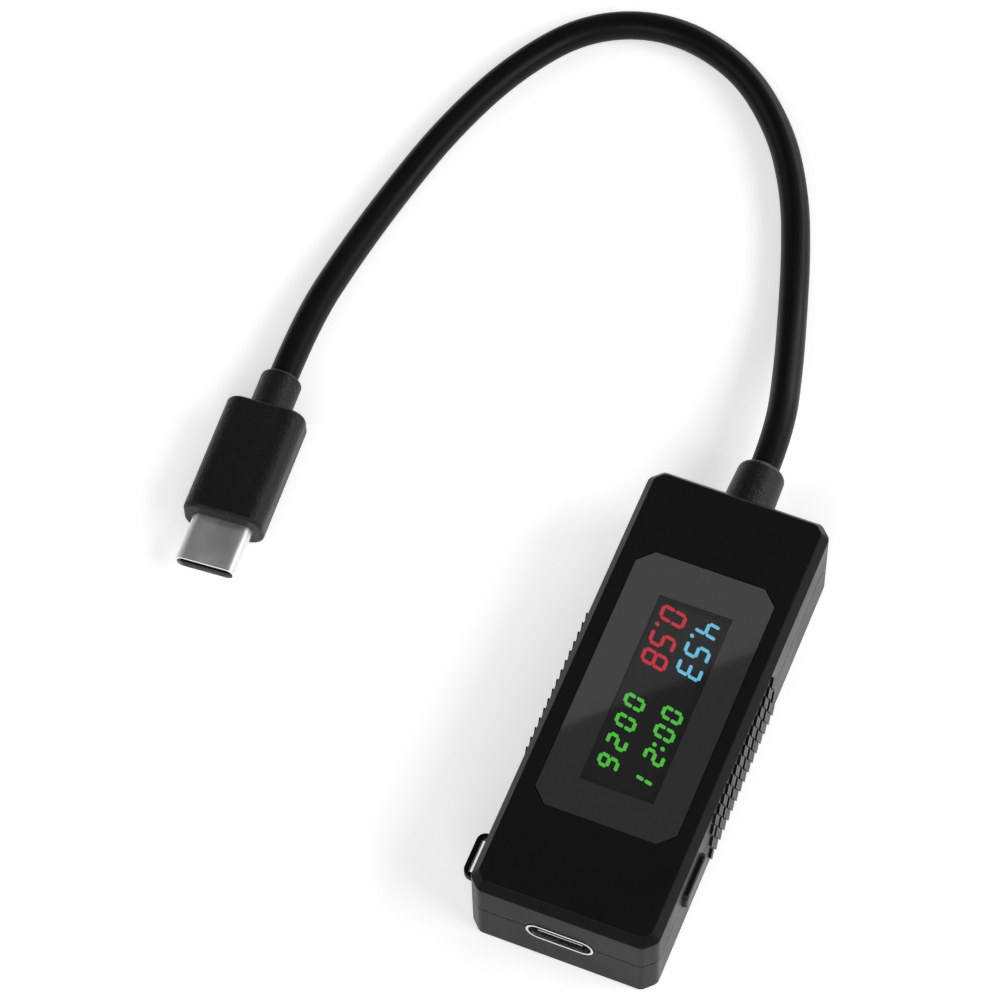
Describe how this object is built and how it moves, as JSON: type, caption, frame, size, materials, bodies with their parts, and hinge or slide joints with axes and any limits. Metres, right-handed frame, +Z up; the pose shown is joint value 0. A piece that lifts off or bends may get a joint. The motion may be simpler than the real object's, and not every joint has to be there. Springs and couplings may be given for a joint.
{
  "type": "usb power meter",
  "caption": "Inline USB-C power meter: slim black snap-fit case with a smoked display window, side button, gripped sides, lanyard loop and a short captive lead that ends in a plug.",
  "frame": {"origin": "centre of the case's flat underside, on the surface the meter lies on", "axes": "+Z up out of the display window, +Y along the case towards the captive lead, +X towards the side button"},
  "size_m": [0.0834, 0.1389, 0.0136],
  "materials": {
    "case": "fine satin black ABS",
    "window": "smoked clear panel, polished",
    "adhesive": "black foam tape",
    "display": "dark display cell",
    "tray": "white moulded plastic",
    "tin": "tinned metal",
    "board": "green solder mask",
    "epoxy": "moulded black epoxy",
    "ceramic": "tan ceramic",
    "nickel": "nickel-plated steel, satin",
    "insulator": "black liquid-crystal polymer",
    "gold": "gold-plated contacts",
    "button": "satin black",
    "switch": "black switch housing",
    "plunger": "natural nylon",
    "jacket": "smooth soft black jacket",
    "overmould": "fine-grained black overmould",
    "wire_red": "red insulation",
    "wire_black": "black insulation",
    "wire_green": "green insulation",
    "wire_white": "white insulation"
  },
  "bodies": {
    "meter": {"bottom_case": "case", "top_cover": "case", "window_panel": "window", "window_adhesive": "adhesive", "display_glass": "display", "display_tray": "tray", "display_pins": "tin", "circuit_board": "board", "microcontroller": "epoxy", "microcontroller_leads": "tin", "memory_chip": "epoxy", "memory_chip_leads": "tin", "charge_switch": "epoxy", "charge_switch_leads": "tin", "shunt_resistor": "epoxy", "clock_crystal": "nickel", "chip_capacitors": "ceramic", "chip_resistors": "epoxy", "receptacle_shell": "nickel", "receptacle_tongue": "insulator", "receptacle_contacts": "gold", "switch_body": "switch", "cable_strain_relief": "jacket", "cable_tail": "jacket", "usb_cable": "jacket", "solder_joints": "tin", "wire_power": "wire_red", "wire_ground": "wire_black", "wire_data_plus": "wire_green", "wire_data_minus": "wire_white", "plug_overmould": "overmould", "plug_shell": "nickel", "plug_insulator": "insulator", "plug_contacts": "gold", "plug_board": "board"},
    "button": {"button_cap": "button", "switch_plunger": "plunger"}
  },
  "joints": [
    {"name": "button_press", "type": "slide", "parent": "meter", "child": "button", "axis": [-1, 0, 0], "range_m": [0, 0.0003], "stiffness_N_per_m": 2000}
  ]
}
